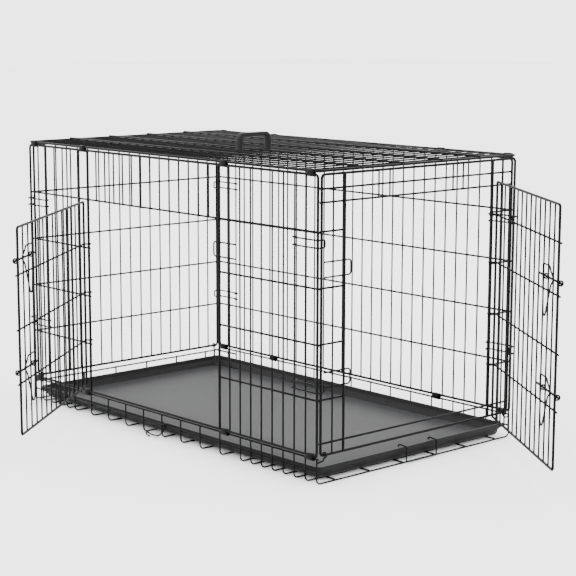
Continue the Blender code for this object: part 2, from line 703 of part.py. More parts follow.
for sideName, side, clipGaps in (("left", -1, CLIP_FRONT_GAPS), ("right", 1, CLIP_BACK_GAPS)):
    rail = side * (WIDTH / 2 - floorHalf - DIAMOND * FLOOR_RADIUS + BITE)
    for number, gaps in enumerate(clipGaps, 1):
        x = -LENGTH / 2 + gaps * pitch
        bottom = (x, side * WIDTH / 2, PANEL_BOTTOM)
        clip(f"floor_clip_{sideName}_{number}", (x, rail, UPSTAND_TOP), bottom, (1, 0, 0))
        above = (x, side * WIDTH / 2, roofHeight)
        clip(f"roof_clip_{sideName}_{number}", (x, side * WIDTH / 2, PANEL_TOP), above, (1, 0, 0))

tray()
trayClip()
foldHook()
handle()
bpy.context.view_layer.update()
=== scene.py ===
# Wire dog crate with both doors open: round coated wires, moulded tray and handle, sheet clips.
import math

import bpy
import numpy as np
from mathutils import Matrix, Vector


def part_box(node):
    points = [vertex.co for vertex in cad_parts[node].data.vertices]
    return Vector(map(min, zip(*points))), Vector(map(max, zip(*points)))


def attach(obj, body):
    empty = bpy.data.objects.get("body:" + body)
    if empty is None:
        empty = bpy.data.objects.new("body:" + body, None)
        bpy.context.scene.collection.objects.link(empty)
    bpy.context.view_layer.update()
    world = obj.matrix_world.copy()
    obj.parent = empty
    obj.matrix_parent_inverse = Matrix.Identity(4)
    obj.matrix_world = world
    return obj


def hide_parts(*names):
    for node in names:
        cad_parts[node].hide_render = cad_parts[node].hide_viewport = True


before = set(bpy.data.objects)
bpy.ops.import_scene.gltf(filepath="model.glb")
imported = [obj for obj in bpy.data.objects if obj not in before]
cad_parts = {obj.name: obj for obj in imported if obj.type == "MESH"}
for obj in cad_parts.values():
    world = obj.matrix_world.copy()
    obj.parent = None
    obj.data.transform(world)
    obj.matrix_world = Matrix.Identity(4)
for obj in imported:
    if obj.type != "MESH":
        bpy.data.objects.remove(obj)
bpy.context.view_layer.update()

crate = {
    "length": 1.220,
    "width": 0.710,
    "bottom": 0.0715,
    "top": 0.7535,
    "roof": 0.7620,
    "longGaps": 30,
    "endGaps": 18,
    "bays": 5,
    "inset": 0.012,
    "overhang": 0.0022,
}
beadSize = {"onFrame": (0.0023, 0.0030, 0.0026), "onLoop": (0.0024, 0.0024, 0.0019)}
wire = {"fine": 0.0022, "row": 0.0026, "frame": 0.0033, "floor": 0.0024, "loop": 0.0021, "bolt": 0.0029}
halfLength = crate["length"] / 2
halfWidth = crate["width"] / 2
halfEnd = halfWidth - crate["inset"]
pitch = crate["length"] / crate["longGaps"]
endPitch = 2 * halfEnd / crate["endGaps"]
bay = (crate["top"] - crate["bottom"]) / crate["bays"]
rowHeights = [crate["bottom"] + bay * i for i in range(1, crate["bays"])]
rowSet = 0.0042  # rows lie this far behind the upright wires
sideAxis = np.array((-halfLength + 7 * pitch, -halfWidth - 0.0003, 0.0))
endAxis = np.array((halfLength + 0.0003, halfEnd - 2 * endPitch, 0.0))


def unit(rows):
    return rows / np.maximum(np.linalg.norm(rows, axis=-1, keepdims=True), 1e-12)


def grid(points, wrapU, wrapV):
    # corner numbers of the quads of a (rows, columns, 3) grid, closed round either way
    rows, columns = points.shape[:2]
    r = np.arange(rows if wrapU else rows - 1)[:, None]
    c = np.arange(columns if wrapV else columns - 1)[None, :]
    nextR, nextC = (r + 1) % rows, (c + 1) % columns
    quads = np.stack(
        np.broadcast_arrays(
            r * columns + c, r * columns + nextC, nextR * columns + nextC, nextR * columns + c
        ),
        -1
    )
    return quads.reshape(-1, 4)


def build(name, parts, body, finish, replaced, smooth=True):
    # one mesh from (points, quads, caps) parts; caps are closed rings of corner numbers
    points, corners, totals, shift = [], [], [], 0
    for vertices, quads, caps in parts:
        points.append(vertices.reshape(-1, 3))
        corners.append((quads + shift).ravel())
        totals.append(np.full(len(quads), 4))
        for cap in caps:
            corners.append(np.asarray(cap) + shift)
            totals.append(np.array([len(cap)]))
        shift += len(points[-1])
    points, corners, totals = np.concatenate(points), np.concatenate(corners), np.concatenate(totals)
    mesh = bpy.data.meshes.new(name)
    mesh.vertices.add(len(points))
    mesh.vertices.foreach_set("co", points.astype(np.float32).ravel())
    mesh.loops.add(len(corners))
    mesh.loops.foreach_set("vertex_index", corners.astype(np.int32))
    mesh.polygons.add(len(totals))
    mesh.polygons.foreach_set("loop_start", (np.cumsum(totals) - totals).astype(np.int32))
    mesh.polygons.foreach_set("use_smooth", np.full(len(totals), smooth))
    mesh.update(calc_edges=True)
    mesh.validate()
    mesh.materials.append(finish)
    piece = bpy.data.objects.new(name, mesh)
    bpy.context.scene.collection.objects.link(piece)
    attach(piece, body)
    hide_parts(*replaced)
    return piece


def rounded(points, radius, steps=5, closed=False):
    # the polyline with each corner swapped for a circular arc that is tangent to both its sides
    points = [np.asarray(p, float) for p in points]
    count = len(points)
    made = [] if closed else [points[0]]
    for i in range(count) if closed else range(1, count - 1):
        before, here, after = points[i - 1], points[i], points[(i + 1) % count]
        a, b = unit(before - here), unit(after - here)
        half = math.acos(float(np.clip(a @ b, -1, 1))) / 2
        reach = min(
            radius / max(math.tan(half), 1e-6), 0.48 * np.linalg.norm(before - here),
            0.48 * np.linalg.norm(after - here)
        )
        if half > 1.5:
            made.append(here)
            continue
        bend = reach * math.tan(half)
        centre = here + unit(a + b) * (bend / math.sin(half))
        start, end = here + a * reach - centre, here + b * reach - centre
        sweep = math.pi - 2 * half
        for k in np.linspace(0, 1, steps + 1):
            made.append(
                centre + (
                    start * math.sin((1 - k) * sweep) + end * math.sin(k * sweep)
                ) / math.sin(sweep)
            )
    if not closed:
        made.append(points[-1])
    return np.array(made)


def carried(section, path, lean, closed=False, sizes=None):
    # the section's outline carried along the path: at each point it stands square to the path, its first
    # axis as near as can be to lean and its second square to both
    path = np.asarray(path, float)
    before = unit(path - np.roll(path, 1, 0))
    after = unit(np.roll(path, -1, 0) - path)
    along = unit(before + after) if closed else unit(
        np.concatenate([after[:1], before[1:-1] + after[1:-1], before[-1:]])
    )
    lean = np.broadcast_to(np.asarray(lean, float), path.shape)
    first = unit(lean - along * (lean * along).sum(1, keepdims=True))
    second = np.cross(along, first)
    stretch = np.ones(len(path))
    inner = slice(None) if closed else slice(1, -1)
    stretch[inner] = 1 / np.clip((along * after).sum(1)[inner], 0.6, 1)
    sizes = np.ones(len(path)) if sizes is None else np.asarray(sizes)
    turnAxis = unit(np.cross(before, after))
    outward = np.cross(along, turnAxis)
    section = np.asarray(section, float)
    spread = section[None, :, :1] * first[:, None] + section[None, :, 1:] * second[:, None]
    spread = spread + (
        (stretch[:, None, None] - 1) * (spread * outward[:, None]).sum(-1, keepdims=True)
    ) * outward[:, None]
    points = path[:, None] + spread * sizes[:, None, None]
    quads = grid(points, closed, True)
    columns = len(section)
    caps = [] if closed else [np.arange(columns)[::-1], np.arange(columns) + (len(path) - 1) * columns]
    return points, quads, caps


def circle(radius, sides):
    angles = 2 * np.pi * np.arange(sides) / sides
    return radius * np.stack([np.cos(angles), np.sin(angles)], 1)


def tube(path, radius, lean, closed=False, sides=12):
    # a round wire; an open end is turned in over its last tenth of a radius
    path = np.asarray(path, float)
    if closed:
        return carried(circle(radius, sides), path, lean, True)
    start, end = unit(path[1] - path[0]), unit(path[-1] - path[-2])
    path = np.concatenate(
        [
            path[:1], path[:1] + start * radius * 0.35, path[1:-1], path[-1:] - end * radius * 0.35,
            path[-1:]
        ]
    )
    sizes = np.ones(len(path))
    sizes[[0, -1]] = 0.72
    return carried(circle(radius, sides), path, lean, False, sizes)


def rods(starts, ends, radius, lean, sides=12):
    # many straight wires at once: rings near both ends of each, joined along it
    starts, ends = np.asarray(starts, float), np.asarray(ends, float)
    along = unit(ends - starts)
    first = unit(
        np.asarray(lean, float) - along * (np.asarray(lean, float) * along).sum(1, keepdims=True)
    )
    second = np.cross(along, first)
    ring = circle(1, sides)
    around = ring[None, :, :1] * first[:, None] + ring[None, :, 1:] * second[:, None]
    places = [starts, starts + along * radius * 0.35, ends - along * radius * 0.35, ends]
    sizes = [0.72, 1, 1, 0.72]
    points = np.stack([p[:, None] + around * radius * s for p, s in zip(places, sizes)], 1)
    parts = []
    one = grid(points[0], False, True)
    step = 4 * sides
    quads = (one[None] + (np.arange(len(starts)) * step)[:, None, None]).reshape(-1, 4)
    caps = []
    for i in range(len(starts)):
        caps += [np.arange(sides)[::-1] + i * step, np.arange(sides) + 3 * sides + i * step]
    parts.append((points, quads, caps))
    return parts


def beads(centres, across, size):
    # weld beads: small balls flattened across the joint, on a 7 by 6 grid of angles
    centres = np.asarray(centres, float).reshape(-1, 3)
    up = np.linspace(-np.pi / 2, np.pi / 2, 6)[1:-1]
    turn = 2 * np.pi * np.arange(7) / 7
    shape = np.stack([
        np.cos(up)[:, None] * np.cos(turn)[None],
        np.cos(up)[:, None] * np.sin(turn)[None],
        np.broadcast_to(np.sin(up)[:, None], (4, 7)),
    ], -1)
    frameAxes = np.asarray(across, float)
    points = centres[:, None, None] + (shape * np.asarray(size)) @ frameAxes
    one = grid(points[0], False, True)
    quads = (one[None] + (np.arange(len(centres)) * 28)[:, None, None]).reshape(-1, 4)
    caps = []
    for i in range(len(centres)):
        caps += [np.arange(7)[::-1] + i * 28, np.arange(7) + 21 + i * 28]
    if np.linalg.det(frameAxes) < 0:  # left-handed axes would turn the faces inward
        quads, caps = quads[:, ::-1], [cap[::-1] for cap in caps]
    return points, quads, caps


class Panel:
    # a flat panel: u across, v up, n out of it
    def __init__(self, origin, across, out, up=(0, 0, 1)):
        self.origin, self.across, self.out, self.up = (
            np.asarray(a, float) for a in (origin, across, out, up)
        )

    def at(self, u, n, v):
        u, n, v = (np.asarray(a, float)[..., None] for a in (u, n, v))
        return self.origin + u * self.across + n * self.out + v * self.up

    def loop(self, u0, u1, v0, v1, n=0.0, radius=0.009):
        corners = [self.at(u, n, v) for u, v in ((u0, v0), (u1, v0), (u1, v1), (u0, v1))]
        return tube(rounded(corners, radius, 6, True), wire["frame"], self.out, True, 14)

    def uprights(self, places, v0, v1, radius, n=0.0):
        places = np.asarray(places, float)
        return rods(self.at(places, n, v0), self.at(places, n, v1), radius, self.out)

    def rows(self, spans, radius, n):
        spans = np.asarray(spans, float)
        return rods(
            self.at(spans[:, 1], n, spans[:, 0]), self.at(spans[:, 2], n, spans[:, 0]), radius, self.out
        )

    def welds(self, us, vs, n=-0.0016, size=(0.0027, 0.0027, 0.0021)):
        u, v = np.meshgrid(us, vs, indexing="ij")
        return beads(self.at(u.ravel(), n, v.ravel()), np.stack([self.across, self.up, self.out]), size)


def noise(tree, scale, detail, source, spot):
    made = tree.nodes.new("ShaderNodeTexNoise")
    made.location = spot
    made.inputs["Scale"].default_value = scale
    made.inputs["Detail"].default_value = detail
    tree.links.new(source, made.inputs["Vector"])
    return made


def ramp(tree, source, low, high, spot):
    # values between low and high, following the source
    made = tree.nodes.new("ShaderNodeMapRange")
    made.location = spot
    made.inputs["From Min"].default_value = 0.3
    made.inputs["From Max"].default_value = 0.7
    made.inputs["To Min"].default_value = low
    made.inputs["To Max"].default_value = high
    tree.links.new(source, made.inputs["Value"])
    return made.outputs["Result"]


def finishOf(
    name, dark, light, roughLow, roughHigh, grain, grainDepth, cloud=14.0, metallic=0.0, coat=0.0,
    specular=0.5
):
    made = bpy.data.materials.new(name)
    made.use_nodes = True
    tree = made.node_tree
    shader = tree.nodes["Principled BSDF"]
    place = tree.nodes.new("ShaderNodeTexCoord").outputs["Object"]
    cloudy = noise(tree, cloud, 4.0, place, (-700, 200)).outputs["Fac"]
    fine = noise(tree, grain, 3.0, place, (-700, -200)).outputs["Fac"]
    mixed = tree.nodes.new("ShaderNodeMix")
    mixed.data_type = "RGBA"
    mixed.inputs["A"].default_value = (*dark, 1)
    mixed.inputs["B"].default_value = (*light, 1)
    tree.links.new(ramp(tree, cloudy, 0.0, 1.0, (-450, 300)), mixed.inputs["Factor"])
    tree.links.new(mixed.outputs["Result"], shader.inputs["Base Color"])
    tree.links.new(ramp(tree, fine, roughLow, roughHigh, (-450, 0)), shader.inputs["Roughness"])
    bump = tree.nodes.new("ShaderNodeBump")
    bump.inputs["Strength"].default_value = 0.35
    bump.inputs["Distance"].default_value = grainDepth
    tree.links.new(fine, bump.inputs["Height"])
    tree.links.new(bump.outputs["Normal"], shader.inputs["Normal"])
    shader.inputs["Metallic"].default_value = metallic
    shader.inputs["Specular IOR Level"].default_value = specular
    shader.inputs["Coat Weight"].default_value = coat
    shader.inputs["Coat Roughness"].default_value = 0.22
    return made


coatedWire = finishOf(
    "coatedWire", (0.0012, 0.0012, 0.0013), (0.003, 0.003, 0.0032), 0.34, 0.48, 900.0, 0.00006,
    specular=0.05
)
coatedSheet = finishOf(
    "coatedSheet", (0.0015, 0.0015, 0.0016), (0.004, 0.004, 0.0042), 0.38, 0.52, 700.0, 0.00008,
    specular=0.05
)
trayPlastic = finishOf(
    "trayPlastic", (0.0025, 0.0025, 0.0027), (0.0045, 0.0045, 0.0048), 0.45, 0.60, 650.0, 0.00025,
    specular=0.12
)
gripPlastic = finishOf(
    "gripPlastic", (0.0025, 0.0025, 0.0027), (0.005, 0.005, 0.0054), 0.45, 0.60, 800.0, 0.00012,
    specular=0.12
)


keeper = {"lift": 0.008, "half": 0.0185, "into": 0.024, "out": 0.064, "bend": 0.007, "depth": 0.0029}


def keepers(panel, post, side, heights):
    # U wires behind the post, closed end standing into the doorway
    parts = []
    for height in heights:
        low, high = height + keeper["lift"] - keeper["half"], height + keeper["lift"] + keeper["half"]
        inner, outer = post - side * keeper["into"], post + side * keeper["out"]
        corners = [
            panel.at(u, -keeper["depth"], v) for u,
            v in ((outer, low), (inner, low), (inner, high), (outer, high))
        ]
        parts.append(tube(rounded(corners, keeper["bend"], 6), wire["loop"], panel.out))
        step = pitch if abs(panel.across[0]) else endPitch
        parts.append(panel.welds([post, post + side * step], [low, high], -0.0015, beadSize["onLoop"]))
    return parts


def longSide(panel, opening):
    post0, post1 = -halfLength + 7 * pitch, -halfLength + 21 * pitch
    every = -halfLength + pitch * np.arange(1, crate["longGaps"])
    inside = (every > post0 + 0.001) & (every < post1 - 0.001) if opening else np.zeros(len(every), bool)
    posts = [post0, post1] if opening else []
    plain = np.array(
        [
            u for u,
            hidden in zip(every, inside) if not hidden and not any(abs(u - p) < 0.001 for p in posts)
        ]
    )
    reach = halfLength + crate["overhang"]
    parts = [panel.loop(-halfLength, halfLength, crate["bottom"], crate["top"])]
    parts += panel.uprights(plain, crate["bottom"], crate["top"], wire["fine"])
    if opening:
        parts += panel.uprights(
            every[inside], rowHeights[-1] - crate["overhang"], crate["top"], wire["fine"]
        )
        parts += panel.uprights(posts, crate["bottom"], crate["top"], wire["frame"])
    spans = [(rowHeights[-1], -reach, reach)]
    for height in rowHeights[:-1]:
        spans += [
            (height, -reach, post0 + crate["overhang"]), (height, post1 - crate["overhang"], reach)
        ] if opening else [(height, -reach, reach)]
    parts += panel.rows(spans, wire["row"], -rowSet)
    outer = np.concatenate([plain, posts, [-halfLength, halfLength]])
    parts.append(panel.welds(outer, rowHeights))
    parts.append(panel.welds(every, [crate["top"]], 0.0, beadSize["onFrame"]))
    parts.append(panel.welds(outer, [crate["bottom"]], 0.0, beadSize["onFrame"]))
    if opening:
        parts.append(panel.welds(every[inside], rowHeights[-1:]))
        parts += keepers(panel, post1, 1, (0.2505, 0.5300))
    return parts


def closedEnd(panel):
    every = -halfEnd + endPitch * np.arange(1, crate["endGaps"])
    reach = halfEnd + crate["overhang"]
    parts = [panel.loop(-halfEnd, halfEnd, crate["bottom"], crate["top"])]
    parts += panel.uprights(every, crate["bottom"], crate["top"], wire["fine"])
    parts += panel.rows([(height, -reach, reach) for height in rowHeights], wire["row"], -rowSet)
    parts.append(panel.welds([*every, -halfEnd, halfEnd], rowHeights))
    parts.append(panel.welds(every, [crate["bottom"], crate["top"]], 0.0, beadSize["onFrame"]))
    return parts


endDoorway = {"gaps": 2, "lintels": (0.0345, 0.0670), "sill": 0.028, "ties": (3, 4)}


def openEnd(panel):
    post = halfEnd - endDoorway["gaps"] * endPitch
    reach = halfEnd + crate["overhang"]
    sill = crate["bottom"] + endDoorway["sill"]
    lintels = [crate["top"] - drop for drop in endDoorway["lintels"]]
    ties = [side * gaps * endPitch for gaps in endDoorway["ties"] for side in (-1, 1)]
    outer = [-halfEnd + endPitch, halfEnd - endPitch]
    parts = [panel.loop(-halfEnd, halfEnd, crate["bottom"], crate["top"])]
    parts += panel.uprights(outer, crate["bottom"], crate["top"], wire["fine"])
    parts += panel.uprights(ties, lintels[-1] - crate["overhang"], crate["top"], wire["fine"])
    parts += panel.uprights([-post, post], crate["bottom"], crate["top"], wire["frame"])
    spans = [(height, -reach, reach) for height in [sill, *lintels]]
    for height in rowHeights:
        spans += [(height, -reach, -post + crate["overhang"]), (height, post - crate["overhang"], reach)]
    parts += panel.rows(spans, wire["row"], -rowSet)
    parts.append(panel.welds([*outer, -post, post, -halfEnd, halfEnd], [sill, *lintels, *rowHeights]))
    parts.append(panel.welds(ties, lintels))
    parts.append(panel.welds([*outer, *ties, -post, post], [crate["top"]], 0.0, beadSize["onFrame"]))
    parts += keepers(panel, -post, -1, (0.2480, 0.5170))
    return parts


def roofPanel():
    panel = Panel((0, 0, crate["roof"]), (1, 0, 0), (0, 0, 1), (0, 1, 0))
    every = -halfLength + pitch * np.arange(1, crate["longGaps"])
    reach = halfLength + crate["overhang"]
    lines = [-halfWidth + i * crate["width"] / 5 for i in range(1, 5)]
    parts = [panel.loop(-halfLength, halfLength, -halfWidth, halfWidth)]
    parts += panel.uprights(every, -halfWidth, halfWidth, wire["fine"], 0.0003)
    parts += panel.rows([(line, -reach, reach) for line in lines], wire["row"], rowSet)
    parts.append(panel.welds([*every, -halfLength, halfLength], lines, 0.0017))
    parts.append(panel.welds(every, [-halfWidth, halfWidth], 0.0, beadSize["onFrame"]))
    return parts


floorSet = {"bend": 0.012, "rim": 0.0630, "middle": 0.0330, "back": 0.0550, "runs": 6, "rise": 0.00206}


def floorParts():
    # cross wires turned up at both long sides, two rails each side, and runs along the length
    radius, rise = wire["floor"] * 0.84, floorSet["rise"]
    every = [0, 1, 2, 3, 4, 5, *range(7, 24, 2), *range(24, 31)]
    parts = []
    for gaps in every:
        x = -halfLength + gaps * pitch
        corners = [
            (x, -halfWidth, floorSet["rim"] + 0.002), (x, -halfWidth, rise), (x, halfWidth, rise),
            (x, halfWidth, floorSet["rim"] + 0.002)
        ]
        parts.append(tube(rounded(corners, floorSet["bend"], 7), radius, (1, 0, 0)))
    railY = halfWidth - 0.0039
    spots = [
        (x, s * railY, z) for s in (-1, 1) for z in (floorSet["middle"], floorSet["rim"]) for x in (
            -halfLength - 0.002, halfLength + 0.002
        )
    ]
    parts += rods(spots[0::2], spots[1::2], wire["floor"], (0, 1, 0))
    xs = -halfLength + np.array(every) * pitch
    for side in (-1, 1):
        wall = Panel((0, side * halfWidth, 0), (1, 0, 0), (0, side, 0))
        parts.append(wall.welds(xs, [floorSet["middle"], floorSet["rim"]], -0.0016, beadSize["onLoop"]))
    lines = -halfWidth + (np.arange(floorSet["runs"]) + 0.5) * crate["width"] / floorSet["runs"]
    back, level = -halfLength - 0.0033, 0.0047
    for y in lines:
        corners = [(halfLength + 0.002, y, level), (back, y, level), (back, y, floorSet["back"] + 0.002)]
        parts.append(tube(rounded(corners, floorSet["bend"], 7), wire["floor"], (0, 1, 0)))
    ground = Panel((0, 0, 0), (1, 0, 0), (0, 0, 1), (0, 1, 0))
    parts.append(ground.welds(xs[1:], lines, 0.0030, (0.0024, 0.0024, 0.0018)))
    rail = [
        (back + 0.0033, -halfWidth + 0.004, floorSet["back"]),
        (back + 0.0033, halfWidth - 0.004, floorSet["back"])
    ]
    parts += rods(rail[:1], rail[1:], wire["floor"], (0, 0, 1))
    for end in (-1, 1):
        for side in (-1, 1):
            parts += cornerEye(end, side)
    return parts


def curl(centre, across, up, radius, start, end, steps=14):
    # part of a circle, from one angle to the other, in the plane of across and up
    angles = np.radians(np.linspace(start, end, steps))[:, None]
    return np.asarray(centre) + radius * (
        np.cos(angles) * np.asarray(across) + np.sin(angles) * np.asarray(up)
    )


def cornerEye(end, side):
    # wire curled round an end panel's bottom wire, then down to the floor grid
    y = side * (halfEnd - 0.0140)
    radius = wire["frame"] + wire["loop"] + 0.0008
    ring = curl((end * halfLength, y, crate["bottom"]), (end, 0, 0), (0, 0, 1), radius, 230, -90, 20)
    if end < 0:
        tail = [(-halfLength, y + side * 0.003, floorSet["back"])]
        return [tube(np.concatenate([ring, tail]), wire["loop"], (0.1, 1, 0.2))]
    tail = [
        (halfLength + 0.0009, y + side * 0.006, crate["bottom"] - radius - 0.008),
        (halfLength + 0.0009, side * halfWidth, crate["bottom"] - radius - 0.010)
    ]
    return [
        tube(
            np.concatenate([ring, rounded([ring[-1], *tail], 0.006, 4)[1:]]), wire["loop"], (0.1, 1, 0.2)
        )
    ]


print("panels")
frontParts = longSide(Panel((0, -halfWidth, 0), (1, 0, 0), (0, -1, 0)), True)
build("frontPanel", frontParts, "crate", coatedWire, ["front_side"])
backParts = longSide(Panel((0, halfWidth, 0), (1, 0, 0), (0, 1, 0)), False)
build("backPanel", backParts, "crate", coatedWire, ["back_side"])
build(
    "closedEndPanel", closedEnd(Panel((-halfLength, 0, 0), (0, 1, 0), (-1, 0, 0))), "back_end",
    coatedWire, ["back_end"]
)
build(
    "openEndPanel", openEnd(Panel((halfLength, 0, 0), (0, 1, 0), (1, 0, 0))), "crate", coatedWire,
    ["front_end"]
)
build("roofPanel", roofPanel(), "crate", coatedWire, ["roof"])
build("floorGrid", floorParts(), "crate", coatedWire, ["floor_grid"])


doorSet = {
    "hingeEdge": 0.016, "off": 0.0083, "uprights": 13, "corner": 0.007, "stub": 0.006, "curl": 0.0056
}
latchSet = {"reach": 0.005, "eyeBack": 2, "top": 0.026, "depth": 0.098}
boltOff = doorSet["off"] + 0.0065
loopOff = boltOff + 0.0035


def doorPanel(outward, axis, turn):
    across = np.array((math.cos(turn), math.sin(turn), 0))
    out = outward * np.array((-math.sin(turn), math.cos(turn), 0))
    return Panel(axis, across, out)


def doorParts(panel, width, bottom, top, gap, heights, boltHeights):
    off = doorSet["off"]
    places = doorSet["hingeEdge"] + gap * np.arange(1, doorSet["uprights"] + 1)
    parts = [panel.loop(doorSet["hingeEdge"], width, bottom, top, off, doorSet["corner"])]
    parts += panel.uprights(places, bottom, top, wire["fine"], off)
    rowOff = off + rowSet
    for height in heights:
        ring = [
            panel.at(
                doorSet["curl"] * math.cos(a), doorSet["curl"] * math.sin(a), height
            ) for a in np.radians(np.linspace(-215, 75, 18))
        ]
        line = rounded(
            [
                ring[-1], panel.at(0.012, rowOff - 0.001, height), panel.at(0.030, rowOff, height),
                panel.at(width + doorSet["stub"], rowOff, height)
            ],
            0.010, 4
        )
        parts.append(tube(np.concatenate([ring, line[1:]]), wire["row"] * 0.93, panel.up))
    parts.append(panel.welds([doorSet["hingeEdge"], *places, width], heights, off + 0.0016))
    parts.append(panel.welds(places, [bottom, top], off, beadSize["onFrame"]))
    guide = wire["bolt"] + wire["loop"] + 0.0006
    for height in boltHeights:
        for u in (places[-1 - latchSet["eyeBack"]], width):
            centre = panel.at(u, boltOff, height)
            parts.append(
                tube(curl(centre, panel.out, panel.up, guide, 205, 515, 22), wire["loop"], panel.across)
            )
    return parts


def latchParts(panel, width, gap, height, tail, loopBack):
    # a bolt, and the bent wire handle welded to it: a yoke above and a long narrow loop below
    inner = doorSet["hingeEdge"] + (doorSet["uprights"] - latchSet["eyeBack"]) * gap
    left = inner - loopBack
    parts = rods(
        [panel.at(inner - tail, boltOff, height)],
        [panel.at(width + latchSet["reach"], boltOff, height)], wire["bolt"], panel.up, 16
    )
    top, low = latchSet["top"], latchSet["depth"]
    outline = [
        (left, 0.004), (left + 0.001, top * 0.55), (left - 0.001, top), (left + 0.052, top),
        (left + 0.060, top * 0.62),
        (left + 0.084, -0.001), (left + 0.062, -0.018), (left + 0.026, 0.006 - low),
        (left + 0.020, -low), (left + 0.012, -low),
        (left + 0.007, 0.007 - low), (left + 0.001, -0.020),
    ]
    path = rounded([panel.at(u, loopOff, height + v) for u, v in outline], 0.006, 5, True)
    parts.append(tube(path, wire["loop"], panel.out, True))
    parts.append(
        beads(
            [panel.at(u, boltOff + 0.0019, height) for u in (left, left + 0.0825)],
            np.stack([panel.across, panel.up, panel.out]), (0.0030, 0.0026, 0.0020)
        )
    )
    return parts


print("doors and latches")
sideTurn, endTurn = -math.radians(51.4), math.radians(56.3 - 90)
sideDoor, endDoor = doorPanel(-1, sideAxis, sideTurn), doorPanel(1, endAxis, endTurn)
sideWidth, endWidth = 0.585, 0.548
sideRows = [height + 0.0130 for height in rowHeights[:-1]]
endRows = [height + lift for height, lift in zip(rowHeights, (0.0055, 0.0055, 0.0055, -0.0065))]
parts = doorParts(
    sideDoor, sideWidth, 0.0935, rowHeights[-1] - 0.0040, pitch, sideRows, (0.2505, 0.5300)
)
build("sideDoor", parts, "side_door", coatedWire, ["side_door"])
parts = doorParts(endDoor, endWidth, 0.0740, crate["top"] - 0.0545, endPitch, endRows, (0.2480, 0.5170))
build("endDoor", parts, "end_door", coatedWire, ["end_door"])
for place, sideHeight, endHeight in (("lower", 0.2505, 0.2480), ("upper", 0.5300, 0.5170)):
    node = f"side_latch_{place}"
    build(
        f"sideLatch.{place}", latchParts(sideDoor, sideWidth, pitch, sideHeight, 0.034, 0.024), node,
        coatedWire, [node]
    )
    node = f"end_latch_{place}"
    build(
        f"endLatch.{place}", latchParts(endDoor, endWidth, endPitch, endHeight, 0.055, 0.036), node,
        coatedWire, [node]
    )


hookSet = {
    "half": 0.0093, "gaps": 2, "stand": 0.0057, "past": 0.0075, "behind": 0.0045,
    "heights": {"lower": 0.239, "upper": 0.590}
}


def hookParts(end, side, height):
    pivot = (end * (halfLength - hookSet["gaps"] * pitch), side * (halfWidth + 0.0003), height)
    panel = Panel(pivot, (end, 0, 0), (0, side, 0))
    radius = wire["fine"] + wire["loop"] + 0.0006
    corner, inside = hookSet["gaps"] * pitch + hookSet["past"], -crate["inset"] - hookSet["behind"]
    half, stand = hookSet["half"], hookSet["stand"]
    rings = []
    for v in (half, -half):
        rings.append(
            np.array(
                [
                    panel.at(
                        radius * math.cos(a), radius * math.sin(a), v
                    ) for a in np.radians(np.linspace(-220, 80, 16))
                ]
            )
        )
    legs = [panel.at(0.008, stand, half), panel.at(corner, stand, half), panel.at(corner, inside, half)]
    legs += [
        panel.at(corner, inside, -half), panel.at(corner, stand, -half), panel.at(0.008, stand, -half)
    ]
    middle = rounded([rings[0][-1], *legs, rings[1][-1]], 0.0045, 5)
    path = np.concatenate([rings[0], middle[1:-1], rings[1][::-1]])
    return [
        tube(
            path, wire["loop"], unit(0.55 * panel.across + 0.62 * panel.out + 0.56 * panel.up), False, 10
        )
    ]


print("hooks")
for endName, end in (("front", 1), ("back", -1)):
    for sideName, side in (("left", -1), ("right", 1)):
        for place, height in hookSet["heights"].items():
            node = f"hook_{endName}_{sideName}_{place}"
            build(
                f"hook.{endName}.{sideName}.{place}", hookParts(end, side, height), node, coatedWire,
                [node]
            )


clipSet = {"wall": 0.0011, "length": 0.024}


def clipParts(node, along):
    # a strip bent round both wires, its ends lapped: an oblong path with a thin rounded section
    low, high = (np.array(c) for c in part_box(node))
    along = np.asarray(along, float)
    middle = (low + high) / 2
    room = (high - low) * (1 - along)
    flatAxes = [np.eye(3)[i] for i in range(3) if along[i] < 0.5]
    spans = [float(room @ a) for a in flatAxes]
    tall, wide = (0, 1) if spans[0] > spans[1] else (1, 0)
    radius = spans[wide] / 2 - clipSet["wall"] / 2 - 0.0001
    reach = spans[tall] / 2 - spans[wide] / 2
    outline = []
    for angle in np.radians(np.arange(0, 360, 15)):
        out = math.cos(angle) * flatAxes[tall] + math.sin(angle) * flatAxes[wide]
        outline.append(middle + math.copysign(reach, math.cos(angle)) * flatAxes[tall] + radius * out)
    edge, half = clipSet["wall"] / 2, clipSet["length"] / 2
    section = [
        (-half, -edge * 0.5), (-half + 0.0004, -edge), (half - 0.0004, -edge), (half, -edge * 0.5),
        (half, edge * 0.5), (half - 0.0004, edge), (-half + 0.0004, edge), (-half, edge * 0.5)
    ]
    return [carried(section, outline, along, True)]


print("clips")
for node in sorted(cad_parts):
    if "_clip_" in node:
        build(
            node.replace("_", "."), clipParts(node, (1, 0, 0)), "crate", coatedSheet,
            [node]
        )


traySet = {"corner": 0.017, "steps": 6, "wall": 0.0030, "lip": 0.0075, "taper": 0.0060}


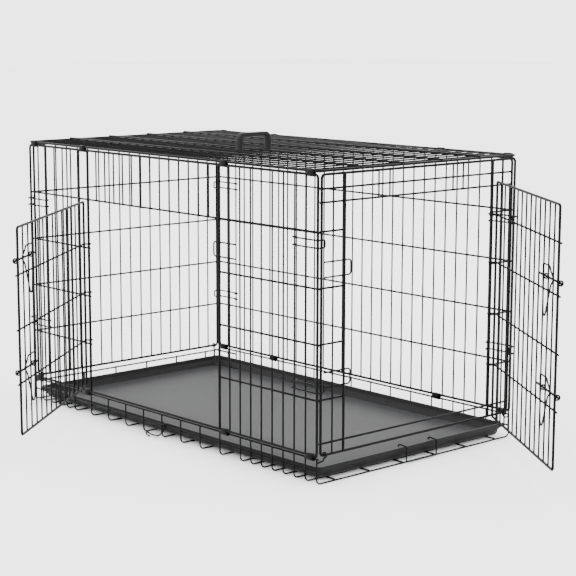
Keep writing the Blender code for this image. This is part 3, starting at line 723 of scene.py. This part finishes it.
def trayParts():
    # rings of a rounded rectangle, each at its own inset and height, from under the floor, up the wall,
    # over the rim, down the inside and across the floor
    low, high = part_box("tray")
    x, y, base, rim = high.x, high.y, low.z, high.z
    half, wall = (base + rim) / 2, traySet["wall"]
    lip, taper = traySet["lip"], traySet["taper"]
    foot = lip + taper
    rings = [
        (0.20, base), (foot + 0.010, base), (foot + 0.004, base + 0.0006), (foot + 0.002, base + 0.003),
        (foot - 0.002, half - 0.004), (foot - 0.004, half - 0.001), (lip * 0.75, half),
        (lip * 0.66, half + 0.003),
        (lip * 0.6, rim - 0.006), (lip * 0.55, rim - 0.0035), (lip * 0.42, rim - 0.0033),
        (lip * 0.40, rim - 0.0045),
        (lip * 0.40, rim - 0.0100), (0.0006, rim - 0.0110), (0.0, rim - 0.0100), (0.0, rim - 0.0022),
        (0.0007, rim - 0.0006),
        (0.0022, rim), (lip * 0.55 + wall - 0.0012, rim), (lip * 0.55 + wall, rim - 0.0012),
        (lip * 0.6 + wall, rim - 0.006),
        (lip * 0.7 + wall, half + 0.005), (lip * 0.85 + wall, half + 0.003),
        (foot - 0.004 + wall, half + crate["overhang"]),
        (foot - 0.001 + wall, half - 0.001), (foot + 0.003 + wall, base + wall + 0.004),
        (foot + 0.005 + wall, base + wall + 0.001),
        (foot + 0.010 + wall, base + wall), (foot + 0.030 + wall, base + wall),
        (foot + 0.032 + wall, base + wall + 0.0008),
        (0.20, base + wall + 0.0008),
    ]
    insets, heights = np.array(rings).T
    corner = np.linspace(0, np.pi / 2, traySet["steps"] + 1)
    angles = np.concatenate([corner + q * np.pi / 2 for q in range(4)])
    sx = np.repeat([1, -1, -1, 1], len(corner))
    sy = np.repeat([1, 1, -1, -1], len(corner))
    radius = np.clip(traySet["corner"] - insets * 0.5, 0.006, None)[:, None]
    points = np.stack([
        sx * (x - insets[:, None] - radius) + radius * np.cos(angles),
        sy * (y - insets[:, None] - radius) + radius * np.sin(angles),
        np.broadcast_to(heights[:, None], (len(rings), len(angles))),
    ], -1)
    count = len(angles)
    quads = grid(points, False, True)
    return [(points, quads, [np.arange(count)[::-1], np.arange(count) + (len(rings) - 1) * count])]


print("tray")
build("trayPan", trayParts(), "tray", trayPlastic, ["tray"])


def paintTrayFloorLight():
    # the up-facing floor of the tray is painted a lighter grey than its walls: painted light, for the light
    # falling on the finely pebbled floor from above
    low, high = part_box("tray")
    tree = trayPlastic.node_tree
    shader = tree.nodes["Principled BSDF"]
    place = tree.nodes["Texture Coordinate"].outputs["Object"]
    split = tree.nodes.new("ShaderNodeSeparateXYZ")
    tree.links.new(place, split.inputs["Vector"])
    # mask of the tray's floor, low in the tray, where the painted light goes
    level = tree.nodes.new("ShaderNodeMapRange")
    level.inputs["From Min"].default_value = low.z + 0.0046
    level.inputs["From Max"].default_value = low.z + 0.0034
    tree.links.new(split.outputs["Z"], level.inputs["Value"])
    mixed = tree.nodes.new("ShaderNodeMix")
    mixed.data_type = "RGBA"
    # painted light: a lighter grey on the up-facing floor, for the light falling on it from above
    mixed.inputs["B"].default_value = (0.024, 0.0245, 0.026, 1)
    before = shader.inputs["Base Color"].links[0].from_socket
    tree.links.new(before, mixed.inputs["A"])
    tree.links.new(level.outputs["Result"], mixed.inputs["Factor"])
    tree.links.new(mixed.outputs["Result"], shader.inputs["Base Color"])


paintTrayFloorLight()


def trayClipParts():
    # one wire: up in front of the tray's wall, over its rim at two places, joined by a bar below
    low, high = (np.array(c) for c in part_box("tray_clip"))
    radius = wire["loop"]
    grow = 0.00188
    back, front = low[0] + grow, high[0] - grow
    y0, y1, bar, rim = low[1] + grow, high[1] - grow, low[2] + grow, high[2] - grow
    half = [
        (back, rim - 0.007), (back, rim - 0.003), (back + 0.006, rim), (front - 0.003, rim - 0.002),
        (front, rim - 0.007), (front, bar)
    ]
    path = [(x, y0, z) for x, z in half] + [(x, y1, z) for x, z in reversed(half)]
    return [tube(rounded(path, 0.004, 5), radius, unit(np.array((0.58, 0.55, 0.6))), False, 10)]


def foldHookParts():
    # a curl round the rail, a long bent shank and a return tip
    axis = np.array((0.010, -(halfWidth - 0.0039), 0.0330))
    radius = wire["floor"] + wire["loop"] + 0.0007
    ring = curl(axis, (0, 1, 0), (0, 0, 1), radius, 200, -90, 18)
    tail = [
        (-0.002, -0.006, -0.014), (-0.012, -0.014, -0.0260), (-0.034, -0.016, -0.0270),
        (-0.046, -0.016, -0.0265),
        (-0.053, -0.018, -0.0225), (-0.052, -0.026, -0.0220), (-0.043, -0.030, -0.0255),
        (-0.030, -0.030, -0.0270),
    ]
    path = np.concatenate([ring, rounded([ring[-1], *(axis + np.array(t) for t in tail)], 0.006, 4)[1:]])
    return [tube(path, wire["loop"], unit(np.array((0.3, 0.6, 0.75))), False, 10)]


build("trayClip", trayClipParts(), "tray_clip", coatedWire, ["tray_clip"])
build("foldHook", foldHookParts(), "fold_hook", coatedWire, ["fold_hook"])


handleSet = {
    "gaps": 16, "middle": -0.062, "length": 0.117, "height": 0.050, "thick": 0.018, "bar": 0.013,
    "leg": 0.012, "foot": 0.0065
}


def handleParts():
    # a rounded oblong section carried over a rounded arch; its depth swells along the grip in shallow ridges
    half, top = handleSet["length"] / 2, handleSet["height"]
    leg, bar, thick = handleSet["leg"], handleSet["bar"], handleSet["thick"]
    low = -handleSet["foot"]
    centre = [
        (-half + leg / 2, low), (-half + leg / 2 + 0.003, top - bar / 2),
        (half - leg / 2 - 0.003, top - bar / 2), (half - leg / 2, low)
    ]
    line = rounded([(0, y, z) for y, z in centre], 0.011, 10)
    steps = np.concatenate([[0], np.cumsum(np.linalg.norm(np.diff(line, axis=0), axis=1))])
    even = np.linspace(0, steps[-1], 120)
    path = np.stack([np.interp(even, steps, line[:, i]) for i in range(3)], 1)
    angles = 2 * np.pi * np.arange(28) / 28
    power = 0.42
    section = np.stack([
        thick / 2 * np.sign(np.cos(angles)) * np.abs(np.cos(angles)) ** power,
        leg / 2 * np.sign(np.sin(angles)) * np.abs(np.sin(angles)) ** power,
    ], 1)
    onGrip = np.clip((path[:, 2] - (top - bar)) / 0.004, 0, 1)
    sizes = 1 - 0.03 * onGrip * (0.5 + 0.5 * np.cos(path[:, 1] * 2 * np.pi / 0.0065))
    x = -halfLength + handleSet["gaps"] * pitch
    path[:, 0] += x
    path[:, 1] += handleSet["middle"]
    path[:, 2] += crate["roof"]
    parts = [carried(section, path, (1, 0, 0), False, sizes)]
    for side in (-1, 1):
        y = handleSet["middle"] + side * (half - leg / 2)
        block = [(x, y, crate["roof"] - handleSet["foot"] + z) for z in (0.0, 0.0008, 0.0135, 0.0145)]
        wide = section * np.array((0.995, 0.999))
        parts.append(carried(wide, block, (1, 0, 0), False, [0.94, 1.0, 1.0, 0.93]))
    return parts


print("handle")
build("carryHandle", handleParts(), "carry_handle", gripPlastic, ["carry_handle"])


def stageMaterial():
    made = bpy.data.materials.new("paleFloor")
    made.use_nodes = True
    shader = made.node_tree.nodes["Principled BSDF"]
    shader.inputs["Base Color"].default_value = (0.93, 0.93, 0.93, 1)
    shader.inputs["Roughness"].default_value = 0.9
    shader.inputs["Specular IOR Level"].default_value = 0.1
    return made


def makeStage():
    bpy.ops.mesh.primitive_plane_add(size=60, location=(0, 0, -0.0005))
    ground = bpy.context.object
    ground.name = "studioFloor"
    ground.data.materials.append(stageMaterial())
    world = bpy.data.worlds.new("studio")
    bpy.context.scene.world = world
    world.use_nodes = True
    world.node_tree.nodes["Background"].inputs["Color"].default_value = (1, 1, 1, 1)
    world.node_tree.nodes["Background"].inputs["Strength"].default_value = 3.8
    for name, place, size, power in (
        ("keyLight", (2.6, -3.4, 3.6), 2.6, 70),
        ("fillLight", (-3.6, -2.2, 2.6), 3.0, 30),
        ("backLight", (-1.5, 3.5, 3.4), 3.0, 30),
    ):
        light = bpy.data.lights.new(name, "AREA")
        light.size = size
        light.energy = power
        lamp = bpy.data.objects.new(name, light)
        bpy.context.scene.collection.objects.link(lamp)
        lamp.location = place
        aim = -np.array(place) + np.array((0, 0, 0.35))
        lamp.rotation_euler = Vector(aim).to_track_quat("-Z", "Y").to_euler()


view = {"place": (3.4192, -2.9842, 1.1193), "turn": 47.942, "drop": 9.369, "roll": 0.131, "lens": 102.67}


def makeCamera():
    turn, drop, roll = (math.radians(view[k]) for k in ("turn", "drop", "roll"))
    back = Vector((math.sin(turn) * math.cos(drop), -math.cos(turn) * math.cos(drop), math.sin(drop)))
    right = Vector((math.cos(turn), math.sin(turn), 0))
    up = right.cross(-back)
    across = math.cos(roll) * right + math.sin(roll) * up
    upward = -math.sin(roll) * right + math.cos(roll) * up
    lens = bpy.data.cameras.new("camera")
    lens.lens = view["lens"]
    lens.sensor_width = 36
    lens.clip_end = 200
    camera = bpy.data.objects.new("camera", lens)
    bpy.context.scene.collection.objects.link(camera)
    axes = Matrix((across, upward, back)).transposed().to_4x4()
    camera.matrix_world = Matrix.Translation(view["place"]) @ axes
    bpy.context.scene.camera = camera


print("stage and camera")
makeStage()
makeCamera()
